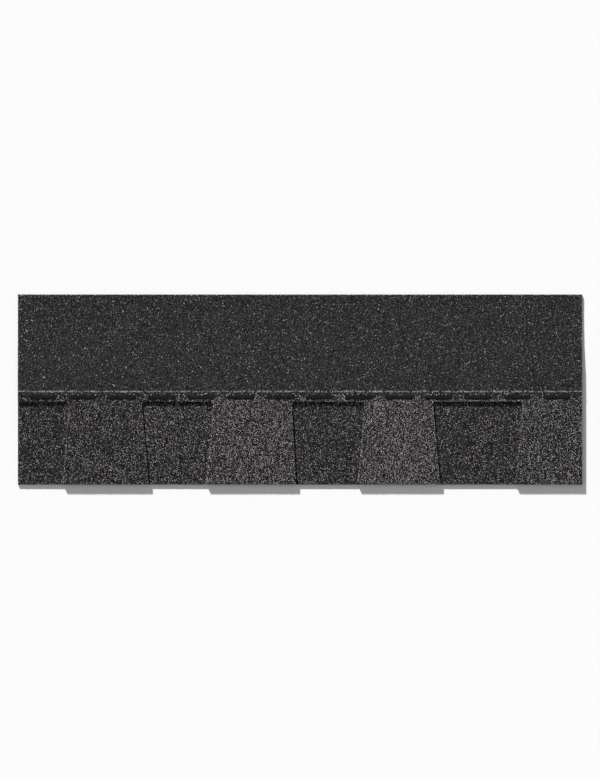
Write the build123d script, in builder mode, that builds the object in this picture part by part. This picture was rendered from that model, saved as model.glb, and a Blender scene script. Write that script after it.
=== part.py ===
from build123d import *
import os
from math import radians, tan
from typing import NamedTuple

# One laminated asphalt roof shingle, lying granule side up on a level floor.
# A toothed top sheet is stuck to a plain backer sheet, which shows in the cut-outs between the teeth.
# The doubled lower part lies flat. The single upper part is limp, and sags until its top edge is down.
# Plans are drawn from the left end of the butt edge: X along the shingle, Y up the slope. Millimetres.


class Cutout(NamedTuple):
    """A cut-out of the top sheet, measured at the butt edge. Its sides lean apart up the slope."""

    tooth: float  # width of the tooth on its left
    width: float
    left_lean: float  # degrees
    right_lean: float


# Plan of the sheets
shingle_length = 1000.0
exposure = 143.0  # height that stays in view when the next course is laid
headlap = 51.0  # height that a third course still covers
shingle_height = 2 * exposure + headlap

# Teeth and cut-outs at the butt edge, from the left end. The last tooth takes what is left.
end_cutout_width = 80.0
first_tooth_width = 152.0
first_cutout_width = 102.0
second_tooth_width = 159.0
second_cutout_width = 109.0
third_tooth_width = 146.0
third_cutout_width = 134.0
cutouts = (
    Cutout(tooth=0.0, width=end_cutout_width, left_lean=0.0, right_lean=4.0),
    Cutout(tooth=first_tooth_width, width=first_cutout_width, left_lean=5.0, right_lean=5.0),
    Cutout(tooth=second_tooth_width, width=second_cutout_width, left_lean=3.0, right_lean=5.0),
    Cutout(tooth=third_tooth_width, width=third_cutout_width, left_lean=5.0, right_lean=5.0),
)
cutout_overrun = 4.0  # the cut-outs reach this far under the next course
cutout_corner_radius = 6.0
cutout_depth = exposure + cutout_overrun
end_overshoot = 2 * cutout_corner_radius  # the first cut-out runs off the left end of the sheet

nailing_band = 24.0  # the doubled band above the cut-outs, where nails go through both sheets
backer_height = cutout_depth + nailing_band

# Thicknesses, and the levels that they lead to
backer_thickness = 2.3
bond_thickness = 0.4
top_sheet_thickness = 2.5
bond_level = backer_thickness
seat_level = bond_level + bond_thickness
face_level = seat_level + top_sheet_thickness

# The free upper part of the top sheet
landing_width = 37.0  # what lies flat on the floor along the top edge
sag_end = shingle_height - landing_width

# Lines of laminating asphalt between the sheets
bond_line_width = 12.0
bond_lines_under_teeth = 3
bond_edge_margin = 8.0  # from the butt edge to the first line
bond_setback = 3.0  # the asphalt stops short of every cut edge

# Row of sealant dashes on the face
seal_dashes = 14
seal_dash_length = 50.0
seal_dash_width = 9.0
seal_dash_height = 1.2
seal_dash_edge = 0.3  # height of a dash's upright edge, below its rounding
seal_clearance = 3.0  # from the top of the cut-outs to the dashes
seal_end_margin = 20.0

# Release tape on the back, which faces the dashes of a shingle turned end for end
tape_width = 32.0
tape_thickness = 0.1
tape_clearance = 2.0  # from the backer sheet's upper edge to the tape

left_end = -shingle_length / 2
butt_edge = -shingle_height / 2
section_plane = Plane(origin=(0, butt_edge, 0), x_dir=(0, 1, 0), z_dir=(1, 0, 0))


def plan_at(level):
    """The plane of a plan at this height: its origin is the left end of the butt edge."""
    return Plane((left_end, butt_edge, level))


def underside_of_top_sheet():
    """The line of the top sheet's back, from the butt edge, over the backer's edge, down to the floor."""
    sag_middle = ((backer_height + sag_end) / 2, seat_level / 2)
    bonded = Line((0, seat_level), (backer_height, seat_level))
    sagging = TangentArc(bonded @ 1, sag_middle, tangent=bonded % 1)
    settling = TangentArc(sagging @ 1, (sag_end, 0), tangent=sagging % 1)
    Line(settling @ 1, (shingle_height, 0))


# Plan of all cut-outs
with BuildSketch() as cutout_plan:
    last_side = 0.0
    for cutout in cutouts:
        left = last_side + cutout.tooth
        right = left + cutout.width
        top_left = left - cutout_depth * tan(radians(cutout.left_lean))
        top_right = right + cutout_depth * tan(radians(cutout.right_lean))
        if left == 0:
            left = -end_overshoot
            top_left = -end_overshoot
        with BuildLine():
            Polyline((left, 0), (right, 0), (top_right, cutout_depth), (top_left, cutout_depth), close=True)
        make_face()
        last_side = right
    fillet(cutout_plan.vertices().group_by(Axis.Y)[-1], cutout_corner_radius)

# Backer sheet: a plain strip
with BuildPart() as backer_sheet:
    with BuildSketch(plan_at(0)):
        Rectangle(shingle_length, backer_height, align=(Align.MIN, Align.MIN))
    extrude(amount=backer_thickness)

# Laminating asphalt: lines under the teeth, and one along the nailing band
with BuildPart() as laminating_asphalt:
    first_line = bond_edge_margin + bond_line_width / 2
    line_pitch = (cutout_depth - 2 * first_line) / (bond_lines_under_teeth - 1)
    line_places = [first_line + n * line_pitch for n in range(bond_lines_under_teeth)]
    line_places.append(cutout_depth + nailing_band / 2)
    with BuildSketch(plan_at(bond_level)):
        with Locations(*[(shingle_length / 2, place) for place in line_places]):
            Rectangle(shingle_length - 2 * bond_setback, bond_line_width)
        offset(cutout_plan.sketch_local, amount=bond_setback, mode=Mode.SUBTRACT)
    extrude(amount=bond_thickness)

# Top sheet: one bent sheet, punched with the cut-outs
with BuildPart() as top_sheet:
    with BuildSketch(section_plane):
        with BuildLine():
            underside_of_top_sheet()
            offset(amount=top_sheet_thickness, side=Side.LEFT)
        make_face()
    extrude(amount=shingle_length / 2, both=True)
    with BuildSketch(plan_at(seat_level)):
        add(cutout_plan.sketch_local)
    extrude(amount=top_sheet_thickness, mode=Mode.SUBTRACT)

# Seal strip: domed dashes just above the cut-outs
with BuildPart() as seal_strip:
    seal_centre = cutout_depth + seal_clearance + seal_dash_width / 2
    dash_pitch = (shingle_length - 2 * seal_end_margin - seal_dash_length) / (seal_dashes - 1)
    with BuildSketch(plan_at(face_level)):
        with Locations((shingle_length / 2, seal_centre)):
            with GridLocations(dash_pitch, 0, seal_dashes, 1):
                SlotOverall(seal_dash_length, seal_dash_width)
    extrude(amount=seal_dash_height)
    fillet(seal_strip.faces().group_by(Axis.Z)[-1].edges(), seal_dash_height - seal_dash_edge)

# Release tape: a film stuck to the back of the top sheet, just above the backer sheet
with BuildPart() as release_tape:
    tape_centre = backer_height + tape_clearance + tape_width / 2
    with BuildSketch(section_plane):
        with BuildLine():
            underside_of_top_sheet()
            offset(amount=tape_thickness, side=Side.RIGHT)
        make_face()
        with Locations((tape_centre, seat_level / 2)):
            Rectangle(tape_width, 2 * face_level, mode=Mode.INTERSECT)
    extrude(amount=shingle_length / 2, both=True)

pieces = {
    "backer_sheet": backer_sheet,
    "laminating_asphalt": laminating_asphalt,
    "top_sheet": top_sheet,
    "seal_strip": seal_strip,
    "release_tape": release_tape,
}
os.makedirs("parts", exist_ok=True)
for name, piece in pieces.items():
    piece.part.label = name
    export_step(piece.part, f"parts/{name}.step")
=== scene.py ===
"""One laminated asphalt shingle on a white floor, seen from straight above.

The two bonded sheets are the frame's own. This script covers their weather sides with granules, each a
small crushed stone of its own, and makes the sealant dashes and the release film.
"""
from math import cos, pi, radians, sin, sqrt
from typing import NamedTuple

import bmesh
import bpy
import numpy as np
from mathutils import Euler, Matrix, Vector, noise
from mathutils.geometry import delaunay_2d_cdt


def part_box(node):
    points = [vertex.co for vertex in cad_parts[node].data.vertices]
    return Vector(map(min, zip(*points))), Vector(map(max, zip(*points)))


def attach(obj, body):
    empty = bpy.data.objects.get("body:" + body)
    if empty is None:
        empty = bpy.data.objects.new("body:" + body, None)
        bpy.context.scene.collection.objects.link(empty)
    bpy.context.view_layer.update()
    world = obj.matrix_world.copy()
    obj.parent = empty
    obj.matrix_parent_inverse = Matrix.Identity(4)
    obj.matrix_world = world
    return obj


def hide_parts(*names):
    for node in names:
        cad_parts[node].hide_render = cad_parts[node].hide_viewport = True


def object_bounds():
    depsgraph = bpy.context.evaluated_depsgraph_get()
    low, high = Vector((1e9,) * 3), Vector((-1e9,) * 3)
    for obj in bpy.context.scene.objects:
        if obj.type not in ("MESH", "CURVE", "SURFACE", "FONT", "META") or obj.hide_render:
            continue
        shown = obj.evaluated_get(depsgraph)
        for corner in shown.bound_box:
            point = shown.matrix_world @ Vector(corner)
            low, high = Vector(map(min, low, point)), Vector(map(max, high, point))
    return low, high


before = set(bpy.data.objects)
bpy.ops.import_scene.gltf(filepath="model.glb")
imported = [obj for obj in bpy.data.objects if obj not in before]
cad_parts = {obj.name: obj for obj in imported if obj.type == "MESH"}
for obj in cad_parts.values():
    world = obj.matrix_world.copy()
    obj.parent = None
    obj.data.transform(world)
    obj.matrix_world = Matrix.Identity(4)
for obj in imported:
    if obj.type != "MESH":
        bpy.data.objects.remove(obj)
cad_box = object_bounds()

MM = 0.001
TINY = 0.01 * MM
seed = 11
random = np.random.default_rng(seed)

# The frame: the box of the whole shingle, and those of its pieces
lowest, highest = cad_box
middle = (lowest + highest) / 2
backer_low, backer_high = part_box("backer_sheet")
sheet_low, sheet_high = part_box("top_sheet")
seal_low, seal_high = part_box("seal_strip")
butt_edge = sheet_low.y

# Granules, laid as an uneven square paving that is turned against the edges of the sheets
fine_spacing = 1.05 * MM
plain_spacing = 1.5 * MM  # of the coarser granules that the next courses hide
paving_turn = radians(37.5)
sizes = (0.6, 1.6)  # of the smallest and the largest, beside an even paving's
jitter = 0.36  # of a granule's place, as a share of the spacing
corner_jitter = 0.27
least_facet = 0.03  # in square spacings. Corners that would make a smaller one stay in their even place.
drift_waves = 9  # that make the rows wander
drift_lengths = (12 * MM, 45 * MM)
drift_slope = 0.09  # of each wave
box_margin = 5 * MM  # round an outline's box: pavings start there, and nothing beyond it is measured
points_at_once = 20000  # that are measured against an outline, to spare memory
least_depth = 0.45  # of a granule on the rim, in spacings
evening_rounds = 3
sharp_bend = radians(45)  # a corner of an outline that bends more gets a granule's corner of its own
crevice_rise = (0.0, 0.26)  # in spacings, of the corners where granules meet, above their bed
granule_rise = (0.18, 0.57)
missing_rise = 0.08  # where a granule is missing
bare_share = 0.03  # of the granules that are missing, which leaves a dab of asphalt
edge_drop, edge_reach = 0.3 * MM, 1.7 * MM  # how far cutting pressed the granules down, and how far in
edge_scuff_and_highlight = 0.28  # how much paler that left them, partly because it also broke them and partly as a painted highlight along the cut edges
bedding = 0.12 * MM  # how deep a carpet of granules starts below the sheet's face
base_step = (20 * MM, 7 * MM)  # between the points that bend a carpet's base to the sheet
upper_pieces = 4

# The seam between the fine granules and the plain ones: a wavering line between and under the dashes
seam_points = 100
seam_waver, seam_length = 2 * MM, 24 * MM
seam_row = 3  # of the noise

# The middle tone of each blend, the spread of its tones, and its middle warmth. A tone goes from 0,
# black, to 1, a pale grey, and warmth from 0, the coldest tint, to 1.
tooth_blends = ((0.15, 0.45, 0.5), (0.205, 0.5, 0.6), (0.225, 0.5, 0.55), (0.2, 0.46, 0.4))
cutout_blends = ((0.19, 0.38, 0.5), (0.184, 0.43, 0.5), (0.195, 0.38, 0.5), (0.175, 0.4, 0.5))
plain_blend = (0.36, 0.2, 0.5)
blends = np.array(tooth_blends + cutout_blends + (plain_blend,))
plain = len(blends) - 1
warmth_reach = 0.5  # of a granule, to either side of its blend's
mixing = 0.65  # how far a granule's tone leans away from its neighbours'

# Where the blend gives way to the plain granules that the next courses hide
blend_end = seal_high.y
blend_fade = 7 * MM
border_waver, border_length = 5 * MM, 25 * MM

# The painted nail line
nail_line = seal_high.y + 6 * MM
nail_line_width = 2.2 * MM
nail_line_cover = 0.62  # the share of its granules that took the paint
nail_line_paint = (0.4, 1)  # the thinnest and the thickest on a granule, where 1 hides the stone
nail_line_wear = 14 * MM  # the length of its worn stretches
wear_row = 7  # of the noise

# Sealant
dash_line = (seal_high.y + seal_low.y) / 2
dash_half_width = (seal_high.y - seal_low.y) / 2
dash_height = seal_high.z - seal_low.z
dash_stations, dash_sides = 60, 18
dash_fullness = 0.8  # 1 would make its section half an ellipse, and less is fuller
dash_hold = 0.6 * MM  # how far the granules round a dash reach into it
dash_gap = 10 * MM  # a longer stretch without a corner is a dash's middle, or lies between two dashes
dash_lump, dash_lump_share = 4.5 * MM, 0.3
dash_waver, dash_waver_share = 3.5 * MM, 0.16

# Release film
film_columns, film_rows = 400, 12
film_thickness = 0.06 * MM
film_lift = 0.12 * MM  # of its creases
film_crease = (40 * MM, 6 * MM)

# Light
sun_elevation = radians(16)
sun_turn = radians(24)  # from straight down the slope towards the right
sun_share = 0.7  # of the light on a level face
sun_softness = radians(3)

# Picture
picture_width, picture_height = 600, 779
fill_share = 0.94  # of the picture's width that the shingle takes
camera_distance = 6.0
floor_reach = 20.0


def wave(*place):
    """Smooth noise from 0 to 1."""
    return 0.5 + 0.5 * noise.noise(Vector(place))


def waver(*place):
    """Smooth noise from -1 to 1."""
    return 2 * wave(*place) - 1


def object_from(name, places, faces, material, smooth=True):
    """A new mesh object of one material."""
    mesh = bpy.data.meshes.new(name)
    mesh.from_pydata(list(map(tuple, places)), [], list(map(tuple, faces)))
    mesh.polygons.foreach_set("use_smooth", [smooth] * len(mesh.polygons))
    mesh.materials.append(material)
    thing = bpy.data.objects.new(name, mesh)
    bpy.context.scene.collection.objects.link(thing)
    return thing


def assign(node, material):
    """Gives a CAD node this material in all its slots."""
    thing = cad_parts[node]
    if not thing.material_slots:
        thing.data.materials.append(material)
    for place in thing.material_slots:
        place.material = material


def grey(value):
    return (value, value, value, 1)


class Shader:
    """A material's nodes, made and linked by short calls."""

    def __init__(self, name):
        self.material = bpy.data.materials.new(name)
        self.material.use_nodes = True
        self.tree = self.material.node_tree
        self.tree.nodes.clear()
        self.output = self.add("OutputMaterial")

    def add(self, kind, inputs=(), **settings):
        """A new node. inputs maps a socket's name or number to a value or to another node's socket."""
        node = self.tree.nodes.new("ShaderNode" + kind)
        for setting, value in settings.items():
            setattr(node, setting, value)
        for socket, value in dict(inputs).items():
            if isinstance(value, bpy.types.NodeSocket):
                self.tree.links.new(value, node.inputs[socket])
            else:
                node.inputs[socket].default_value = value
        return node

    def math(self, operation, *values):
        return self.add("Math", dict(enumerate(values)), operation=operation).outputs[0]

    def mix(self, share, first, second, blend="MIX"):
        inputs = {0: share, 6: first, 7: second}
        return self.add("Mix", inputs, data_type="RGBA", blend_type=blend).outputs[2]

    def ramp(self, value, *stops):
        """stops are (place, grey or colour) pairs."""
        node = self.add("ValToRGB", {0: value})
        elements = node.color_ramp.elements
        for number, (place, colour) in enumerate(stops):
            element = elements[number] if number < len(elements) else elements.new(place)
            element.position = place
            element.color = grey(colour) if isinstance(colour, float) else (*colour, 1)
        return node.outputs[0]

    def curve(self, value, heights):
        """value, from 0 to 1, read off a curve through evenly spaced heights."""
        node = self.add("FloatCurve", {"Value": value})
        points = node.mapping.curves[0].points
        points[0].location, points[1].location = (0, heights[0]), (1, heights[-1])
        for number in range(1, len(heights) - 1):
            points.new(number / (len(heights) - 1), heights[number])
        for point in points:
            point.handle_type = "VECTOR"
        node.mapping.update()
        return node.outputs[0]

    def place(self):
        """The place on the object, in metres."""
        return self.add("TexCoord").outputs["Object"]

    def noise(self, where, scale, detail=2.0):
        """Noise of about this many lumps a metre. More detail breaks them up."""
        return self.add("TexNoise", {"Vector": where, "Scale": scale, "Detail": detail}).outputs[0]

    def attribute(self, name):
        return self.add("Attribute", attribute_name=name).outputs["Fac"]

    def bump(self, height, strength, distance):
        return self.add("Bump", {"Height": height, "Strength": strength, "Distance": distance}).outputs[0]

    def surface(self, **inputs):
        """The finished surface, whose inputs are named with underscores for spaces."""
        named = {socket.replace("_", " "): value for socket, value in inputs.items()}
        shader = self.add("BsdfPrincipled", named)
        self.tree.links.new(shader.outputs[0], self.output.inputs["Surface"])
        return self.material


def make_granule_material():
    """Crushed, coloured stones in asphalt: a tone and a tint for each, and dark where they meet."""
    look = Shader("granules")
    place = look.place()
    asphalt, paint = (0.006, 0.0056, 0.0052, 1), grey(0.42)
    tones = (0.0, 0.003), (0.25, 0.01), (0.5, 0.043), (0.75, 0.17), (1.0, 0.6)
    stone = look.ramp(look.attribute("tone"), *tones)
    tints = (
        (0.0, (0.995, 0.963, 1.06)),
        (0.3, (1.035, 0.963, 1.03)),
        (0.55, (1.045, 0.963, 1.01)),
        (0.8, (1.05, 0.968, 0.995)),
        (1.0, (1.08, 0.968, 0.965)),
    )
    tint = look.ramp(look.attribute("warmth"), *tints)
    colder, warmer = (0.965, 0.97, 0.985), (1.035, 1.03, 1.015)
    patches = look.ramp(look.noise(place, 17.0, 3.0), (0.35, colder), (0.65, warmer))
    speckle = look.noise(place, 3200.0)
    for shade in (tint, patches, look.ramp(speckle, (0.3, 0.72), (0.7, 1.28))):
        stone = look.mix(1.0, stone, shade, "MULTIPLY")
    stone = look.mix(look.attribute("paint"), stone, paint)
    risen = look.ramp(look.attribute("summit"), (0.0, 0.0), (0.14, 1.0))
    colour = look.mix(risen, asphalt, stone)
    roughness = look.ramp(look.noise(place, 900.0), (0.3, 0.55), (0.7, 0.85))
    bump = look.bump(speckle, 0.5, 0.1 * MM)
    return look.surface(Base_Color=colour, Roughness=roughness, Normal=bump, Specular_IOR_Level=0.08)


def make_sheet_material(name, profile, thickness):
    """Asphalt on a glass mat. The mat shows in the cut edges, and fine sand covers the back."""
    curve_points = 24
    mat_waver, mat_reach = 0.5 * MM, 0.6 * MM
    glass = (0.16, 0.13, 0.1, 1)
    dark, medium, pale = (0.02, 0.019, 0.018), (0.1, 0.095, 0.088), (0.3, 0.28, 0.25)
    look = Shader(name)
    place = look.place()
    up_slope, height = look.add("SeparateXYZ", {0: place}).outputs[1:]
    facing = look.add("SeparateXYZ", {0: look.add("NewGeometry").outputs["True Normal"]}).outputs[2]

    # The mat runs halfway between the faces, so its height follows the sheet's bend up the slope
    low, high = profile[0].min(), profile[0].max()
    share = look.add("MapRange", {"Value": up_slope, "From Min": low, "From Max": high}).outputs[0]
    top = profile[1].max()
    face = look.curve(share, np.interp(np.linspace(low, high, curve_points), *profile) / top)
    mat_level = look.math("MULTIPLY_ADD", face, top, -thickness / 2)
    unevenness = look.math("MULTIPLY_ADD", look.noise(place, 120.0, 3.0), mat_waver, -mat_waver / 2)
    uneven_height = look.math("ADD", height, unevenness)
    off_mat = look.math("ABSOLUTE", look.math("SUBTRACT", uneven_height, mat_level))
    mat = look.ramp(look.math("DIVIDE", off_mat, mat_reach), (0.25, 1.0), (0.6, 0.0))
    fibres = look.ramp(look.noise(place, 1500.0), (0.42, 0.0), (0.6, 1.0))
    asphalt = look.ramp(look.noise(place, 700.0, 4.0), (0.3, 0.008), (0.75, 0.026))
    edge = look.mix(look.math("MULTIPLY", mat, fibres), asphalt, glass)

    grains = look.add("TexVoronoi", {"Vector": place, "Scale": 1900.0})
    sand = look.ramp(grains.outputs["Color"], (0.2, dark), (0.55, medium), (0.9, pale))
    dusting = look.ramp(look.noise(place, 30.0, 5.0), (0.3, 0.5), (0.7, 0.95))
    back = look.mix(dusting, asphalt, sand)
    underside = look.math("LESS_THAN", facing, -0.5)
    colour = look.mix(underside, edge, back)
    edge_roughness = look.ramp(look.noise(place, 500.0, 3.0), (0.3, 0.5), (0.7, 0.8))
    roughness = look.mix(underside, edge_roughness, grey(0.9))
    grain_relief = look.math("MULTIPLY", grains.outputs["Distance"], underside)
    relief = look.math("ADD", look.noise(place, 900.0, 4.0), grain_relief)
    return look.surface(Base_Color=colour, Roughness=roughness, Normal=look.bump(relief, 0.6, 0.2 * MM))


def make_asphalt_material(name, least_roughness, shine):
    """Bare asphalt: black and wrinkled, with a skin that is duller and dustier in patches."""
    look = Shader(name)
    place = look.place()
    most_roughness = least_roughness + 0.3
    bare, dull, dusty = (0.005, 0.005, 0.005), (0.012, 0.0115, 0.011), (0.032, 0.03, 0.028)
    colour = look.ramp(look.noise(place, 420.0, 5.0), (0.35, bare), (0.58, dull), (0.75, dusty))
    roughness = look.ramp(look.noise(place, 160.0, 4.0), (0.35, least_roughness), (0.65, most_roughness))
    bump = look.bump(look.noise(place, 700.0, 5.0), 0.8, 0.4 * MM)
    return look.surface(Base_Color=colour, Roughness=roughness, Normal=bump, Specular_IOR_Level=shine)


def make_film_material():
    """Thin clear film, milky where it has creased or lifted off the sand."""
    look = Shader("release_film")
    place = look.place()
    stretched = look.add("Mapping", {"Vector": place, "Scale": (0.25, 1.0, 1.0)}).outputs[0]
    creases = look.noise(stretched, 160.0, 5.0)
    colour = look.ramp(creases, (0.35, (0.3, 0.3, 0.29)), (0.65, (0.62, 0.62, 0.6)))
    roughness = look.ramp(look.noise(place, 60.0), (0.3, 0.16), (0.7, 0.34))
    bump = look.bump(creases, 0.5, 0.3 * MM)
    return look.surface(Base_Color=colour, Roughness=roughness, Normal=bump, Alpha=0.4)


def faces_of(node):
    """The triangles of a CAD node that look up, as places: triangle, corner, axis."""
    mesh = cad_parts[node].data
    mesh.calc_loop_triangles()
    shown = [triangle for triangle in mesh.loop_triangles if triangle.normal.z > 0.5]
    return np.array([[mesh.vertices[corner].co for corner in triangle.vertices] for triangle in shown])


def edges_of(cells):
    """The edges round each of these cells, as pairs of numbered corners."""
    return np.stack([cells, np.roll(cells, -1, axis=1)], -1)


def rim_edges(cells):
    """The edges, as pairs of numbered corners, that only one of these cells has."""
    edges = edges_of(cells).reshape(-1, 2)
    count = cells.max() + 1
    return edges[~np.isin(edges @ (count, 1), edges @ (1, count))]


def loop_of(edges):
    """The corners of these edges in order, where the edges make one closed loop."""
    following = dict(edges.tolist())
    loop = [min(following)]
    while following[loop[-1]] != loop[0]:
        loop.append(following[loop[-1]])
    return np.array(loop)


def rim_of(triangles):
    """The outline of these triangles, anticlockwise, as places in plan."""
    plan = np.round(triangles[..., :2].reshape(-1, 2), 6)
    corners, cells = np.unique(plan, axis=0, return_inverse=True)
    return corners[loop_of(rim_edges(cells.reshape(-1, 3)))]


def profile_of(triangles):
    """How high a face is up the slope, read along its right end: places and heights."""
    corners = triangles.reshape(-1, 3)
    end = corners[corners[:, 0] > corners[:, 0].max() - TINY]
    order = np.argsort(end[:, 1])
    return end[order, 1], end[order, 2]


def below(rim, level):
    """The part of a sheet's rim that is below this level, in order from its left end to its right end."""
    low = rim[:, 1] < level
    start = np.flatnonzero(low & ~np.roll(low, 1))[0]
    return np.roll(rim, -start, axis=0)[: low.sum()]


def cutouts_in(rim):
    """The outlines of the cut-outs, left to right: the rim between two butt edges, turned round."""
    low = np.concatenate([[(sheet_low.x, butt_edge)], below(rim, seal_low.y)])
    on_butt = low[:, 1] < butt_edge + TINY
    stretches = np.split(low, np.flatnonzero(on_butt[:-1] & on_butt[1:]) + 1)
    return [stretch[::-1] for stretch in stretches if len(stretch) > 2]


def parted(rim):
    """The outlines of the top sheet below and above the seam."""
    x = np.linspace(sheet_low.x, sheet_high.x, seam_points)
    swing = np.array([waver(place / seam_length, seam_row, 0) for place in x])
    seam = np.column_stack([x, dash_line + seam_waver * swing])
    lower = np.concatenate([below(rim, seam[:, 1].min()), seam[::-1]])
    upper = np.concatenate([seam, [(sheet_high.x, sheet_high.y), (sheet_low.x, sheet_high.y)]])
    return lower, upper


def milestones(outline):
    """How far round a closed outline each of its corners is, and at the end its whole length."""
    return np.append(0, np.cumsum(np.linalg.norm(np.roll(outline, -1, axis=0) - outline, axis=1)))


def place_on(outline, travel):
    """The places this far round an outline."""
    miles, closed = milestones(outline), np.concatenate([outline, outline[:1]])
    return np.column_stack([np.interp(travel % miles[-1], miles, closed[:, k]) for k in (0, 1)])


def against(points, outline):
    """How far round an outline each point's nearest place is, the gap, and whether the point is inside.

    Points that are well clear of the outline's box get zeros.
    """
    start, end = outline, np.roll(outline, -1, axis=0)
    run, miles = end - start, milestones(outline)
    travel, gap, inside = np.zeros(len(points)), np.zeros(len(points)), np.zeros(len(points), bool)
    near = (points > outline.min(0) - box_margin) & (points < outline.max(0) + box_margin)
    near = np.flatnonzero(near.all(1))
    for some in np.array_split(near, len(near) // points_at_once + 1):
        offset = points[some, None] - start
        along = np.clip((offset * run).sum(2) / (run**2).sum(1), 0, 1)
        gaps = np.linalg.norm(offset - along[..., None] * run, axis=2)
        best = np.arange(len(some)), gaps.argmin(1)
        travel[some] = (miles[:-1] + along * np.diff(miles))[best]
        gap[some] = gaps[best]
        crossing = (start[:, 1] > points[some, None, 1]) != (end[:, 1] > points[some, None, 1])
        side = (run[:, 0] * offset[..., 1] - run[:, 1] * offset[..., 0]) * np.sign(run[:, 1])
        inside[some] = (crossing & (side > 0)).sum(1) % 2 == 1
    return travel, gap, inside


def evened(travel, outline):
    """Steps round an outline, put in order and evened out, with one on each of its sharp corners."""
    miles = milestones(outline)
    length = miles[-1]
    steps = (np.diff(travel, prepend=travel[-1]) + length / 2) % length - length / 2
    travel = np.sort(travel[0] + np.cumsum(steps) - steps[0])
    for _ in range(evening_rounds):
        before = np.append(travel[-1] - length, travel[:-1])
        after = np.append(travel[1:], travel[0] + length)
        travel = (before + 2 * travel + after) / 4
    along, back = np.roll(outline, -1, axis=0) - outline, outline - np.roll(outline, 1, axis=0)
    bend = (along * back).sum(1) / np.linalg.norm(along, axis=1) / np.linalg.norm(back, axis=1)
    for corner in miles[:-1][bend < cos(sharp_bend)]:
        off = (travel - corner + length / 2) % length - length / 2
        nearest = np.abs(off).argmin()
        travel[nearest] -= off[nearest]
    return travel


def fours(grid):
    """What a grid has at the corners of each of its cells, anticlockwise, as four smaller grids."""
    return [grid[:-1, :-1], grid[:-1, 1:], grid[1:, 1:], grid[1:, :-1]]


def grid_cells(number):
    """The four corners of each cell of a grid of numbered places, anticlockwise."""
    return np.stack(fours(number), -1).reshape(-1, 4)


def smallest_facet(tops, corners):
    """The area of the smallest of the four triangles between each top and its corners, taken in order."""
    arms = [corner - tops for corner in corners]
    crosses = [
        arm[..., 0] * following[..., 1] - arm[..., 1] * following[..., 0]
        for arm, following in zip(arms, arms[1:] + arms[:1])
    ]
    return np.min(crosses, axis=0) / 2


def middles_of(cells):
    """A middle for each cell that faces all four edges, also where a corner points inwards."""
    diagonals = (cells[:, :2] + cells[:, 2:]) / 2
    choices = np.stack([diagonals.mean(1), *diagonals.transpose(1, 0, 2)])
    best = np.argmax([smallest_facet(choice, cells.transpose(1, 0, 2)) for choice in choices], axis=0)
    return choices[best, np.arange(len(cells))]


def tops_between(places, corners):
    """The granules' tops, a third of the way from the middle of their corners to their places."""
    return (places[1:-1, 1:-1] + sum(fours(corners)) / 2) / 3


class Paving(NamedTuple):
    """Granules side by side, and the corners where they meet.

    Each granule has a seat, which is its place in the even paving, a chance of its own, its nearness to a
    cut edge, from 0 out of its reach to 1 on it, a top, and a cell: the numbers of its four corners.
    """

    seats: np.ndarray
    chances: np.ndarray
    nearness: np.ndarray
    tops: np.ndarray
    corners: np.ndarray
    cells: np.ndarray


def drifting(places, spacing):
    """Places in an even paving, in spacings, shifted so that its rows wander."""
    shifted = places.astype(float)
    for _ in range(drift_waves):
        heading, push, phase = random.uniform(0, 2 * pi, 3)
        turns = 2 * pi * spacing / random.uniform(*drift_lengths)
        swing = np.sin(turns * (places @ (cos(heading), sin(heading))) + phase)
        shifted += drift_slope / turns * swing[..., None] * (cos(push), sin(push))
    return shifted


def pave(low, high, spacing):
    """An uneven square paving over a rectangle.

    One more granule all round only shapes the corners of those inside it.
    """
    columns, rows = (int(count) + 3 for count in (high - low) / spacing)
    even = drifting(np.stack(np.meshgrid(np.arange(columns), np.arange(rows)), -1), spacing)
    places = even + random.uniform(-jitter, jitter, even.shape)
    pull = 1 / random.uniform(*sizes, (rows, columns, 1))
    chance = random.standard_normal((rows, columns))
    even_corners = sum(fours(places * pull)) / sum(fours(pull))
    corners = even_corners + random.uniform(-corner_jitter, corner_jitter, even_corners.shape)
    squeezed = np.pad(smallest_facet(tops_between(places, corners), fours(corners)) < least_facet, 1)
    corners = np.where(sum(fours(squeezed.astype(int)))[..., None] > 0, even_corners, corners)
    tops = tops_between(places, corners)
    grids = even[1:-1, 1:-1], tops, corners
    seats, tops, corners = (low + spacing * grid.reshape(-1, 2) for grid in grids)
    chance = (chance[1:-1, 1:-1] - mixing * sum(fours(sum(fours(chance)))) / 16).ravel()
    cells = grid_cells(np.arange(len(corners)).reshape(rows - 1, columns - 1))
    return Paving(seats, chance / chance.std(), np.zeros(len(seats)), tops, corners, cells)


def fill(outline, spacing):
    """The flat paving that fills an outline, with the corners of its rim on it."""
    turn = np.array([[cos(paving_turn), -sin(paving_turn)], [sin(paving_turn), cos(paving_turn)]])
    turned = outline @ turn
    paving = pave(turned.min(0) - box_margin, turned.max(0) + box_margin, spacing)
    seats, tops, corners = (places @ turn.T for places in (paving.seats, paving.tops, paving.corners))
    travel, gap, inside = against(corners, outline)
    kept = (inside & (gap > least_depth * spacing))[paving.cells].any(1)
    fields = seats, paving.chances, paving.nearness, tops
    seats, chances, nearness, tops = (field[kept] for field in fields)
    used, cells = np.unique(paving.cells[kept], return_inverse=True)
    cells, corners, travel, inside = cells.reshape(-1, 4), corners[used], travel[used], inside[used]
    corners = np.where(inside[:, None], corners, place_on(outline, travel))
    rim = loop_of(rim_edges(cells))
    corners[rim] = place_on(outline, evened(travel[rim], outline))
    on_rim = np.isin(cells, rim).any(1)
    tops[on_rim] = middles_of(corners[cells[on_rim]])
    return Paving(seats, chances, nearness, tops, corners, cells)


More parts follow.
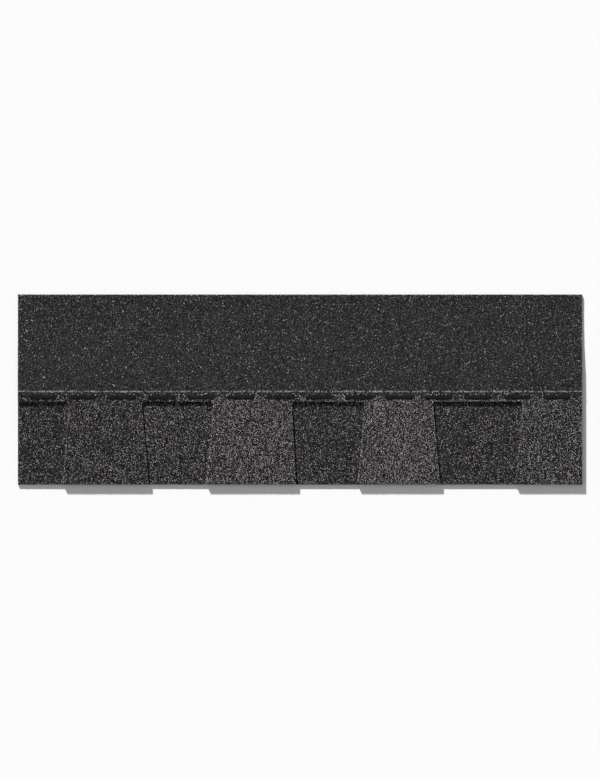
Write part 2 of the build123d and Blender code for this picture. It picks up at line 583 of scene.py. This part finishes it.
def dash_ends():
    """Where each sealant dash starts and ends along the shingle."""
    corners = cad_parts["seal_strip"].data.vertices
    xs = np.unique(np.round([corner.co.x for corner in corners], 6))
    spaces = np.flatnonzero(np.diff(xs) > dash_gap)[1::2]  # every other stretch is a dash's own middle
    return list(zip(xs[[0, *(spaces + 1)]], xs[[*spaces, -1]]))


def under_dash(seats):
    """Whether each granule lies well under a sealant dash."""
    starts, ends = (np.array(xs)[:, None] for xs in zip(*dash_ends()))
    nearest = np.clip(seats[:, 0], starts + dash_half_width, ends - dash_half_width)
    return (np.hypot(seats[:, 0] - nearest, seats[:, 1] - dash_line) < dash_half_width - dash_hold).any(0)


def raised(paving, cut, spacing):
    """A flat paving with heights above the sheet. Where a granule is missing, its chance makes it black.

    cut is the outline along which the sheet was cut, and its granules pressed down.
    """
    corners, cells = paving.corners, paving.cells
    nearness = np.clip(1 - against(corners, cut)[1] / edge_reach, 0, 1)
    level = edge_drop * np.where(under_dash(corners), 0, 1 - nearness**2)
    missing = (random.uniform(size=len(cells)) < bare_share) | under_dash(paving.seats)
    rise = np.where(missing, missing_rise, random.uniform(*granule_rise, len(cells)))
    return paving._replace(
        chances=np.where(missing, -np.inf, paving.chances),
        nearness=nearness[cells].mean(1),
        tops=np.column_stack([paving.tops, level[cells].mean(1) + spacing * rise]),
        corners=np.column_stack([corners, level + spacing * random.uniform(*crevice_rise, len(corners))]),
    )


def base_under(feet, rim):
    """A carpet's base: its places in plan, which are the rim's feet and points inside, and its faces."""
    low, high = feet.min(0), feet.max(0)
    inner = [np.arange(low[k], high[k], base_step[k]) + base_step[k] / 2 for k in (0, 1)]
    places = np.concatenate([feet, np.stack(np.meshgrid(*inner), -1).reshape(-1, 2)])
    inside_rim, closeness = 1, 1e-6  # which triangles Blender gives back, and which points are one to it
    plan = [Vector(place) / MM for place in places]
    result = delaunay_2d_cdt(plan, rim.tolist(), [], inside_rim, closeness)
    triangles, origins = np.array(result[2]), result[3]
    faces = np.array([origin[0] if origin else -1 for origin in origins])[triangles][:, ::-1]
    used = np.unique(np.concatenate([np.arange(len(feet)), faces.ravel()]))
    return places[used], np.searchsorted(used, faces)


def add_attribute(mesh, title, domain, values):
    """A number of this title for each face or point of a mesh."""
    mesh.attributes.new(title, "FLOAT", domain).data.foreach_set("value", values.astype(np.float32))


def add_chart(mesh, places):
    """The texture chart that materials are baked on: the mesh seen from above."""
    chart = mesh.uv_layers.new(name="OFBake")
    vertex = np.empty(len(mesh.loops), int)
    mesh.loops.foreach_get("vertex_index", vertex)
    plan = places[:, :2] - places[:, :2].min(0)
    chart.uv.foreach_set("vector", (plan / plan.max())[vertex].astype(np.float32).ravel())


def carpet(name, paving, mine, profile, traits):
    """A closed piece of some of a paving's granules: a peak each, walls round the rim, and a base."""
    used, cells = np.unique(paving.cells[mine], return_inverse=True)
    cells, corners, tops = cells.reshape(-1, 4), paving.corners[used], paving.tops[mine]
    peak = len(corners) + np.arange(len(cells))
    peaks = np.concatenate([edges_of(cells), np.repeat(peak, 4).reshape(-1, 4, 1)], -1).reshape(-1, 3)
    rim = rim_edges(cells)
    rim_corners, rim_feet = np.unique(rim, return_inverse=True)
    rim_feet = rim_feet.reshape(-1, 2)
    ground, base = base_under(corners[rim_corners, :2], rim_feet)
    foot = len(corners) + len(cells)
    walls = np.column_stack([rim[:, ::-1], rim_feet + foot])
    places = np.concatenate([corners, tops, np.insert(ground, 2, -bedding, axis=1)])
    places[:, 2] += np.interp(places[:, 1], *profile)
    faces = [*peaks.tolist(), *walls.tolist(), *(base + foot).tolist()]
    piece = object_from(name, places, faces, granule_material, smooth=False)
    for title, values in traits.items():
        on_peaks = np.repeat(values[mine], 4)
        add_attribute(piece.data, title, "FACE", np.pad(on_peaks, (0, len(faces) - len(peaks))))
    add_attribute(piece.data, "summit", "POINT", np.isin(np.arange(len(places)), peak))
    add_chart(piece.data, places)
    return piece


def lay(paving, profile, names, blend, paint):
    """Makes a paving into pieces, one for each name, with tones and tints of the granules' blends."""
    centre, spread, warmth = blends[blend].T
    traits = {
        # Granules near a cut edge are paler: partly broken stone, partly a painted highlight along the
        # edge.
        "tone": np.clip(centre + spread * paving.chances + edge_scuff_and_highlight * paving.nearness, 0, 1),
        "warmth": np.clip(warmth + random.uniform(-warmth_reach, warmth_reach, len(blend)), 0, 1),
        "paint": paint,
    }
    for name in np.unique(names):
        piece = carpet(str(name), paving, names == name, profile, traits)
        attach(piece, "root")


def tooth_at(seats):
    """The number of the tooth whose blend each granule takes: its own, or the nearest above a cut-out."""
    middles = [cutout[:, 0].mean() for cutout in cutouts]
    return np.clip(np.searchsorted(middles, seats[:, 0]) - 1, 0, len(tooth_blends) - 1)


def quarter_at(seats):
    """The number of the part of the sheet's length that each granule is in."""
    borders = np.linspace(sheet_low.x, sheet_high.x, upper_pieces + 1)[1:-1]
    return np.searchsorted(borders, seats[:, 0])


def blend_on_sheet(seats):
    """The teeth's own blends, and plain granules beyond a border that wavers and fades."""
    border = [blend_end + border_waver * waver(x / border_length, y / border_length, 0) for x, y in seats]
    past = (seats[:, 1] - border) / blend_fade > random.uniform(-0.5, 0.5, len(seats))
    return np.where(past, plain, tooth_at(seats))


def paint_on_sheet(seats):
    """How thick the paint is on each granule: a worn line, broken in places."""
    cover = nail_line_cover + 0.5 - np.array([wave(x / nail_line_wear, wear_row, 0) for x in seats[:, 0]])
    painted = np.abs(seats[:, 1] - nail_line) < nail_line_width / 2
    painted &= random.uniform(size=len(seats)) < cover
    return painted * random.uniform(*nail_line_paint, len(seats))


def cover_top_sheet():
    """Granules on the top sheet: fine ones on the teeth, and plain ones above the seam."""
    lower, upper = parted(sheet_rim)
    for title, outline, spacing, number_at in (
        ("granules_tooth_", lower, fine_spacing, tooth_at),
        ("granules_upper_", upper, plain_spacing, quarter_at),
    ):
        paving = raised(fill(outline, spacing), sheet_rim, spacing)
        names = np.char.add(title, (number_at(paving.seats) + 1).astype(str))
        blend, paint = blend_on_sheet(paving.seats), paint_on_sheet(paving.seats)
        lay(paving, profile, names, blend, paint)


def cover_backer():
    """Granules on the backer sheet, where the cut-outs show it."""
    low_right, high_left = (backer_high.x, backer_low.y), (backer_low.x, backer_high.y)
    backer_rim = np.array([backer_low[:2], low_right, backer_high[:2], high_left])
    for number, cutout in enumerate(cutouts):
        paving = raised(fill(cutout, fine_spacing), backer_rim, fine_spacing)
        count = len(paving.seats)
        names = np.full(count, f"granules_cutout_{number + 1}")
        blend = np.full(count, len(tooth_blends) + number)
        lay(paving, backer_profile, names, blend, np.zeros(count))


def dash_section(x, start, end):
    """The arch of places over a sealant dash at x, ragged at its feet, lumpy, and lower near the ends."""
    to_end = min(x - start, end - x, dash_half_width) / dash_half_width
    taper = sqrt(max(to_end * (2 - to_end), 0))
    arch = []
    for angle in np.linspace(0, pi, dash_sides + 1):
        side = -cos(angle)
        ragged = 1 - dash_waver_share * side**2 * wave(x / dash_waver, round(side), 0)
        y = dash_line + side * dash_half_width * taper * ragged
        lumpy = 1 - dash_lump_share * wave(x / dash_lump, y / dash_lump, 0)
        z = seal_low.z + dash_height * lumpy * sin(angle) ** dash_fullness * sqrt(taper)
        arch.append((x, y, z))
    return arch


def make_dashes():
    """The sealant: poured dashes, domed, lumpy and ragged, that the granules around them bite into."""
    shape = bmesh.new()
    for start, end in dash_ends():
        arches = []
        for station in range(dash_stations + 1):
            x = start + (1 - cos(pi * station / dash_stations)) / 2 * (end - start)
            arches.append([shape.verts.new(place) for place in dash_section(x, start, end)])
        for arch, following in zip(arches, arches[1:]):
            for k in range(dash_sides):
                shape.faces.new((arch[k], following[k], following[k + 1], arch[k + 1]))
            shape.faces.new((arch[0], arch[-1], following[-1], following[0]))
    bmesh.ops.remove_doubles(shape, verts=shape.verts, dist=TINY)
    material = make_asphalt_material("sealant", least_roughness=0.62, shine=0.08)
    piece = object_from("sealant_dashes", (), (), material)
    shape.to_mesh(piece.data)
    shape.free()
    piece.data.polygons.foreach_set("use_smooth", [True] * len(piece.data.polygons))
    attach(piece, "root")
    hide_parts("seal_strip")


def make_film():
    """The release film: a strip on the back of the top sheet, with small creases along it."""
    low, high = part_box("release_tape")
    columns = np.linspace(low.x, high.x, film_columns + 1)
    rows = np.linspace(low.y, high.y, film_rows + 1)
    x, y = np.meshgrid(columns, rows)
    stuck = np.interp(y, *profile_of(faces_of("release_tape"))) - TINY
    crease_length, crease_height = film_crease
    creases = np.array([wave(a / crease_length, b / crease_height, 0) for a, b in zip(x.flat, y.flat)])
    loose = stuck - film_thickness - film_lift * creases.reshape(x.shape)
    places = np.concatenate([np.stack([x, y, z], -1).reshape(-1, 3) for z in (stuck, loose)])
    number = np.arange(x.size).reshape(x.shape)
    top = grid_cells(number)
    rim = np.concatenate([number[0, :-1], number[:-1, -1], number[-1, :0:-1], number[:0:-1, 0]])
    after = np.roll(rim, -1)
    walls = np.stack([rim, rim + x.size, after + x.size, after], -1)
    faces = np.concatenate([top, top[:, ::-1] + x.size, walls])
    piece = object_from("film", places, faces, make_film_material())
    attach(piece, "root")
    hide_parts("release_tape")


def make_camera():
    """Straight above, far enough away that the sheets' faces look flat on."""
    data = bpy.data.cameras.new("camera")
    camera = bpy.data.objects.new("camera", data)
    seen_height = (highest.x - lowest.x) / fill_share * picture_height / picture_width
    data.lens = data.sensor_width * camera_distance / seen_height
    camera.location = (middle.x, middle.y, camera_distance)
    bpy.context.scene.collection.objects.link(camera)
    bpy.context.scene.camera = camera


def make_light():
    """A low sun from the upper left and an even sky, which light a level face with strength 1."""
    data = bpy.data.lights.new("sun", "SUN")
    data.energy = sun_share * pi / sin(sun_elevation)
    data.angle = sun_softness
    sun = bpy.data.objects.new("sun", data)
    sun.rotation_euler = Euler((pi / 2 - sun_elevation, 0, pi + sun_turn))
    bpy.context.scene.collection.objects.link(sun)

    world = bpy.data.worlds.new("world")
    world.use_nodes = True
    nodes, links = world.node_tree.nodes, world.node_tree.links
    path = nodes.new("ShaderNodeLightPath")
    strength = nodes.new("ShaderNodeMapRange")
    strength.inputs["To Min"].default_value = 1 - sun_share
    links.new(path.outputs["Is Camera Ray"], strength.inputs["Value"])
    links.new(strength.outputs[0], nodes["Background"].inputs["Strength"])
    nodes["Background"].inputs["Color"].default_value = grey(1.0)
    bpy.context.scene.world = world


def make_floor():
    """A white floor, darker to all but the camera, so that it throws little light on the shingle."""
    look = Shader("floor")
    white, darker = grey(0.97), grey(0.5)
    seen = look.add("LightPath").outputs["Is Camera Ray"]
    paint = look.add("BsdfDiffuse", {"Color": look.mix(seen, darker, white)})
    look.tree.links.new(paint.outputs[0], look.output.inputs["Surface"])
    level = lowest.z - 5 * TINY
    corners = [(x * floor_reach, y * floor_reach, level) for x, y in ((-1, -1), (1, -1), (1, 1), (-1, 1))]
    object_from("floor", corners, [(0, 1, 2, 3)], look.material)


make_camera()
make_light()
make_floor()

face, backer_face = faces_of("top_sheet"), faces_of("backer_sheet")
profile, backer_profile = profile_of(face), profile_of(backer_face)
sheet_rim = rim_of(face)
cutouts = cutouts_in(sheet_rim)
granule_material = make_granule_material()
cover_top_sheet()
cover_backer()
make_dashes()
make_film()

sheet_thickness = sheet_high.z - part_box("laminating_asphalt")[1].z
backer_thickness = backer_high.z - backer_low.z
assign("top_sheet", make_sheet_material("top_sheet_asphalt", profile, sheet_thickness))
assign("backer_sheet", make_sheet_material("backer_asphalt", backer_profile, backer_thickness))
bond_material = make_asphalt_material("laminating_asphalt", least_roughness=0.35, shine=0.3)
assign("laminating_asphalt", bond_material)

bpy.context.scene.view_settings.view_transform = "Standard"
